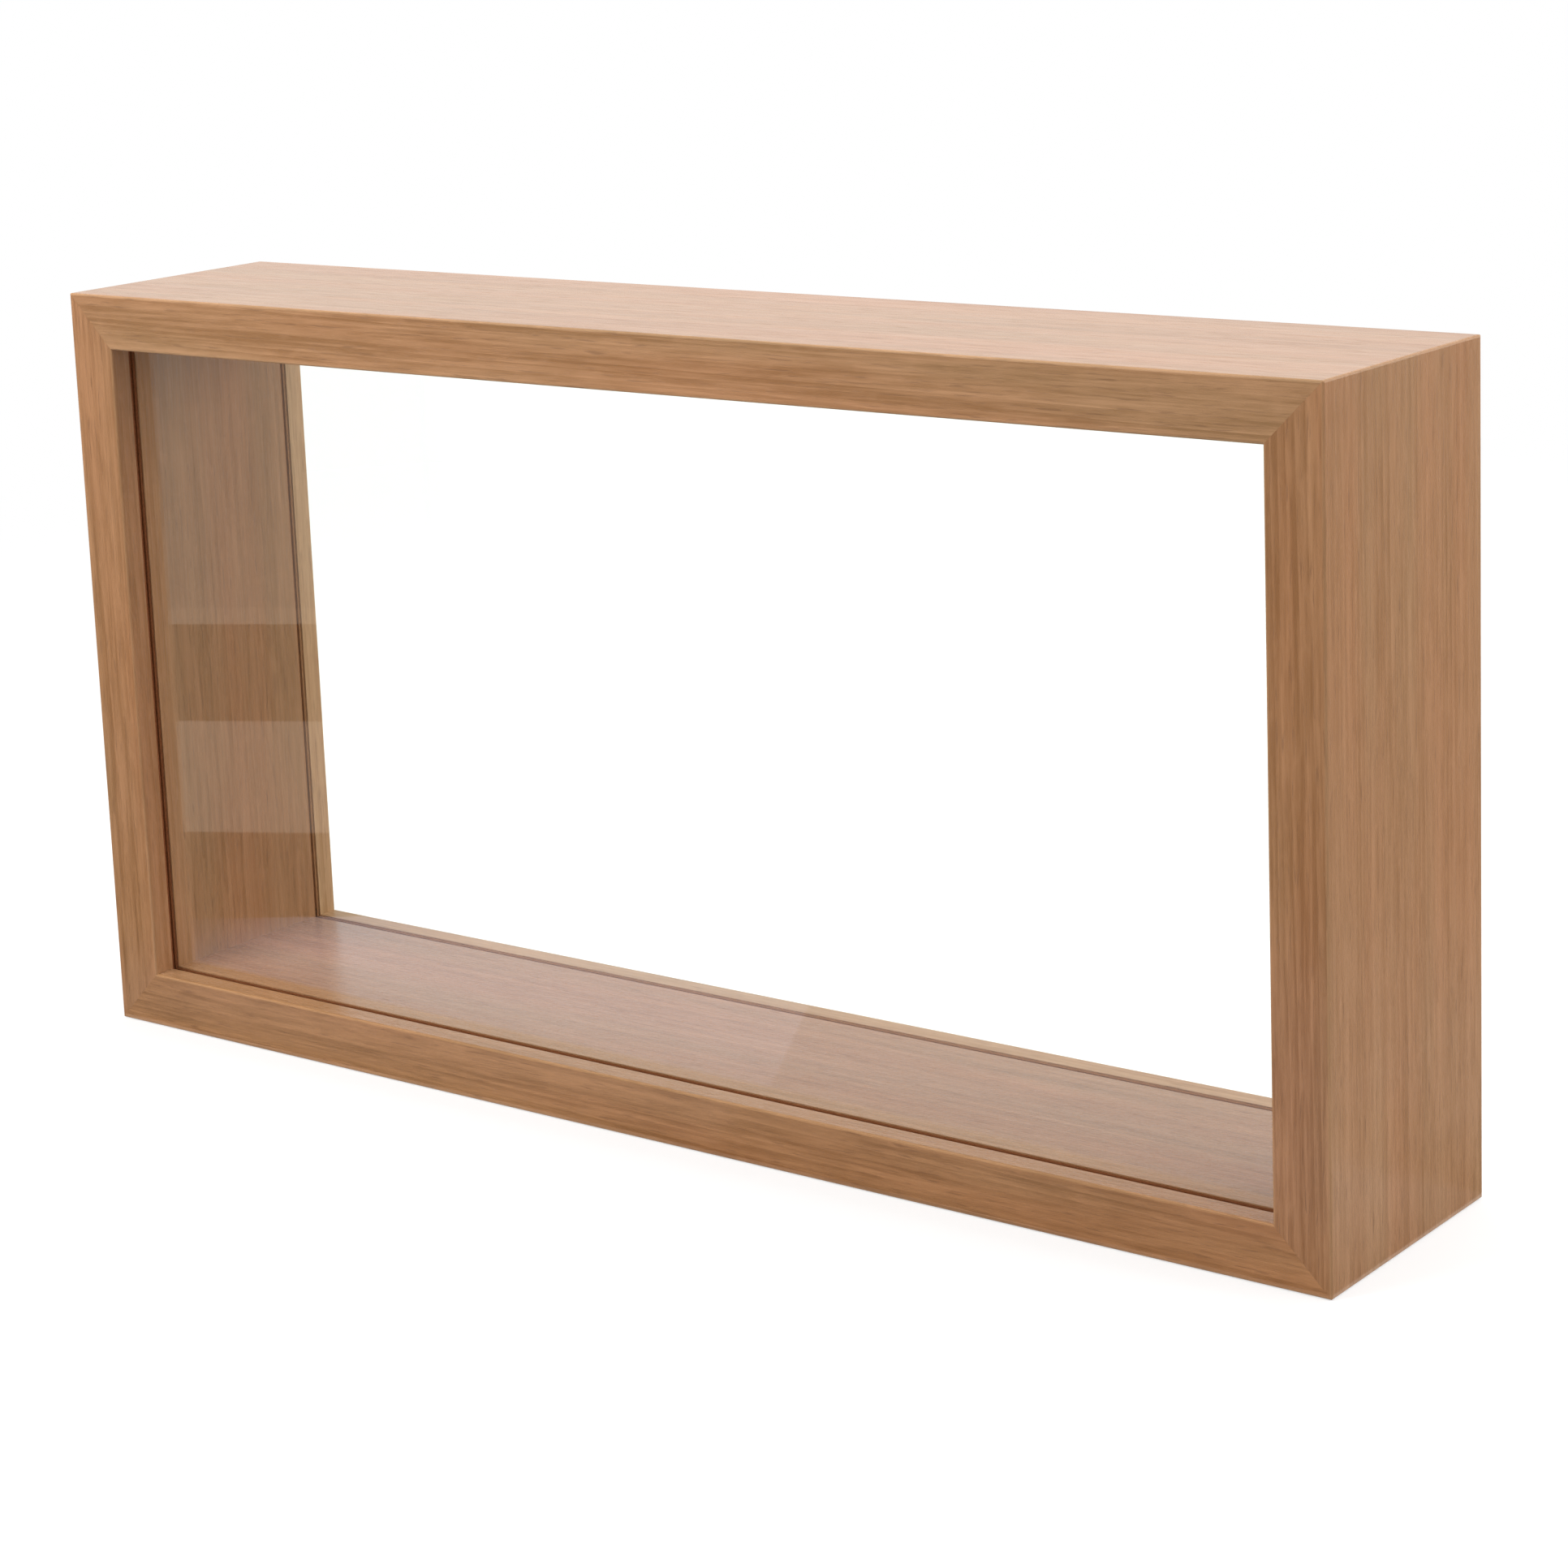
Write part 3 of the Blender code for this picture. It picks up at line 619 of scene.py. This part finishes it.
def seen_strength(tree, as_light, as_seen):
    """One strength as light, another for the rays that show the background: the camera's, and
    those mirrored or let through. What comes straight through the panes gets the window's gain."""
    rays = add_node(tree, "ShaderNodeLightPath").outputs
    outside = add_node(
        tree, "ShaderNodeMath", {"operation": "MAXIMUM"},
        {0: rays["Is Camera Ray"], 1: rays["Is Glossy Ray"]})
    seen = add_node(
        tree, "ShaderNodeMath", {"operation": "MAXIMUM"}, {0: outside, 1: rays["Is Transmission Ray"]})
    strength = add_node(
        tree, "ShaderNodeMath", {"operation": "MULTIPLY_ADD", 1: as_seen - as_light, 2: as_light}, {0: seen})
    straight = add_node(
        tree, "ShaderNodeMath", {"operation": "SUBTRACT", "use_clamp": True},
        {0: rays["Is Transmission Ray"], 1: rays["Glossy Depth"]})
    return add_node(
        tree, "ShaderNodeMath", {"operation": "MULTIPLY_ADD", 1: WINDOW_GAIN}, {0: straight, 2: strength})


def make_world():
    """A white room: white to look at, a little lower as light."""
    world = bpy.data.worlds.new("white_room")
    bpy.context.scene.world = world
    world.use_nodes = True
    tree = world.node_tree
    tree.nodes.clear()
    background = add_node(
        tree, "ShaderNodeBackground", {"Color": [1.0] * 4},
        {"Strength": seen_strength(tree, AMBIENT_STRENGTH, 1.0)})
    add_node(tree, "ShaderNodeOutputWorld", links={"Surface": background})


def make_sheet(name, corners, material):
    """One flat sheet of the studio, which isn't part of the case."""
    mesh = bpy.data.meshes.new(name)
    mesh.from_pydata([tuple(corner) for corner in corners], [], [(0, 1, 2, 3)])
    sheet = bpy.data.objects.new(name, mesh)
    bpy.context.scene.collection.objects.link(sheet)
    mesh.materials.append(material)
    return sheet


def make_floor():
    """A pale floor that the camera sees as white, with the case's shadow on it."""
    material, tree = new_material("pale_floor")
    paper = add_node(tree, "ShaderNodeBsdfDiffuse", {"Color": linear(FLOOR_COLOUR)})
    glow = add_node(
        tree, "ShaderNodeEmission", {"Color": [1.0] * 4}, {"Strength": seen_strength(tree, 0.0, FLOOR_GLOW)})
    near = add_node(tree, "ShaderNodeAddShader", links={0: paper, 1: glow})
    far = add_node(
        tree, "ShaderNodeEmission", {"Color": [1.0] * 4},
        {"Strength": seen_strength(tree, FAR_FLOOR_LIGHT, 1.0)})
    place = add_node(tree, "ShaderNodeTexCoord").outputs["Object"]
    distance = add_node(tree, "ShaderNodeVectorMath", {"operation": "LENGTH"}, {0: place}).outputs["Value"]
    share = add_node(
        tree, "ShaderNodeMapRange",
        {"interpolation_type": "SMOOTHSTEP", "From Min": FLOOR_NEAR, "From Max": FLOOR_FAR},
        {"Value": distance})
    floor = add_node(tree, "ShaderNodeMixShader", links={0: share, 1: near, 2: far})
    add_node(tree, "ShaderNodeOutputMaterial", links={"Surface": floor})
    level = CASE_LOW.z - FLOOR_DROP
    corners = [(x * FLOOR_HALF, y * FLOOR_HALF, level) for x, y in ((-1, -1), (1, -1), (1, 1), (-1, 1))]
    make_sheet("floor", corners, material)


def trim_to_face(card, direction):
    """Cut a card off where it would run in under the case."""
    if abs(direction.y) > abs(direction.x):
        side = Vector((0, math.copysign(1, direction.y), 0))
    else:
        side = Vector((math.copysign(1, direction.x), 0, 0))
    mesh = bmesh.new()
    mesh.from_mesh(card.data)
    everything = mesh.verts[:] + mesh.edges[:] + mesh.faces[:]
    bmesh.ops.bisect_plane(
        mesh, geom=everything, plane_co=CASE_MIDDLE + CASE_HALF * side, plane_no=side, clear_inner=True)
    mesh.to_mesh(card.data)
    mesh.free()


def make_card(name, corners, level, colour, faded=1.0):
    """A glowing sheet that only mirrors show: a painted reflection, painted darker next to the case as the
    floor is shaded.
    """
    material, tree = new_material(name)
    place = add_node(tree, "ShaderNodeTexCoord").outputs["Object"]
    outward = add_node(tree, "ShaderNodeVectorMath", {"operation": "ABSOLUTE"}, {0: place})
    beyond = add_node(tree, "ShaderNodeVectorMath", {"operation": "SUBTRACT", 1: CASE_HALF}, {0: outward})
    gaps = add_node(tree, "ShaderNodeSeparateXYZ", links={0: beyond}).outputs
    reach = add_node(tree, "ShaderNodeMath", {"operation": "MAXIMUM"}, {0: gaps["X"], 1: gaps["Y"]})
    # Painted shade: the glow is lowered next to the case.
    shaded = add_node(
        tree, "ShaderNodeMapRange",
        {"From Min": 0.0, "From Max": CARD_SHADE_REACH, "To Min": level * CARD_SHADE_LEVEL, "To Max": level},
        {"Value": reach})
    leftward = add_node(tree, "ShaderNodeSeparateXYZ", links={0: place}).outputs["X"]
    fade = add_node(
        tree, "ShaderNodeMapRange",
        {"interpolation_type": "SMOOTHSTEP", "From Min": HAZE_FADE_FROM, "From Max": HAZE_FADE_TO,
         "To Min": faded},
        {"Value": leftward})
    strength = add_node(tree, "ShaderNodeMath", {"operation": "MULTIPLY"}, {0: shaded, 1: fade})
    rays = add_node(tree, "ShaderNodeLightPath").outputs
    mirrored = add_node(
        tree, "ShaderNodeMath", {"operation": "MINIMUM", 1: 1.0}, {0: rays["Glossy Depth"]})
    tone = add_node(tree, "ShaderNodeEmission", {"Color": linear(colour)}, {"Strength": strength})
    clear = add_node(tree, "ShaderNodeBsdfTransparent")
    shader = add_node(tree, "ShaderNodeMixShader", links={0: mirrored, 1: clear, 2: tone})
    add_node(tree, "ShaderNodeOutputMaterial", links={"Surface": shader})
    card = make_sheet(name, corners, material)
    card.visible_camera = False
    card.visible_diffuse = False
    card.visible_shadow = False
    return card


def make_cards():
    """Painted reflections: glowing strips and one sheet on the floor that only mirrors show."""
    strip_level = Vector((0, 0, CASE_LOW.z + CARD_RISE))
    for number, (direction, near, far, level, colour) in enumerate(CARDS):
        sideways = direction.cross(Vector((0, 0, 1)))
        corners = [
            direction * distance + sideways * CARD_HALF_LENGTH * end + strip_level
            for distance, end in ((near, -1), (near, 1), (far, 1), (far, -1))
        ]
        trim_to_face(make_card(f"painted_reflection_strip_{number + 1}", corners, level, colour), direction)
    haze_corners = [Vector((x, y, CASE_LOW.z + HAZE_RISE)) for x, y in HAZE_CORNERS]
    make_card("painted_reflection_haze", haze_corners, HAZE_LEVEL, COOL, HAZE_FADED)


def make_lamps():
    """Large soft lamps: left front, right, above and behind. None is mirrored."""
    for name, (place, side, watts) in LAMPS.items():
        light = bpy.data.lights.new(name, "AREA")
        light.shape = "SQUARE"
        light.size = side
        light.energy = watts
        lamp = bpy.data.objects.new(name, light)
        lamp.location = place
        lamp.rotation_euler = (CASE_MIDDLE - place).to_track_quat("-Z", "Y").to_euler()
        lamp.visible_camera = False
        lamp.visible_glossy = False
        lamp.visible_transmission = False
        bpy.context.scene.collection.objects.link(lamp)


def make_camera():
    """The photograph's view: low, from the front and the case's right."""
    level = math.cos(CAMERA_DOWN)
    ahead = Vector((
        -math.sin(CAMERA_AZIMUTH) * level, math.cos(CAMERA_AZIMUTH) * level, -math.sin(CAMERA_DOWN)))
    right = ahead.cross(Vector((0, 0, 1))).normalized()
    above = right.cross(ahead)
    rolled_right = right * math.cos(CAMERA_ROLL) + above * math.sin(CAMERA_ROLL)
    rolled_above = above * math.cos(CAMERA_ROLL) - right * math.sin(CAMERA_ROLL)
    data = bpy.data.cameras.new("camera")
    data.sensor_width = CAMERA_SENSOR_MM
    data.lens = PHOTO_FOCAL_PIXELS / PHOTO_SIDE * CAMERA_SENSOR_MM
    data.shift_y = -PHOTO_AXIS_ABOVE_MIDDLE_PIXELS / PHOTO_SIDE
    camera = bpy.data.objects.new("camera", data)
    turned = Matrix((rolled_right, rolled_above, -ahead)).transposed().to_4x4()
    camera.matrix_world = Matrix.Translation(CAMERA_PLACE) @ turned
    bpy.context.scene.collection.objects.link(camera)
    bpy.context.scene.camera = camera


make_camera()
make_world()
make_floor()
make_cards()
make_lamps()
dress_case()
make_glue_lines()

bpy.context.scene.view_settings.view_transform = "Standard"
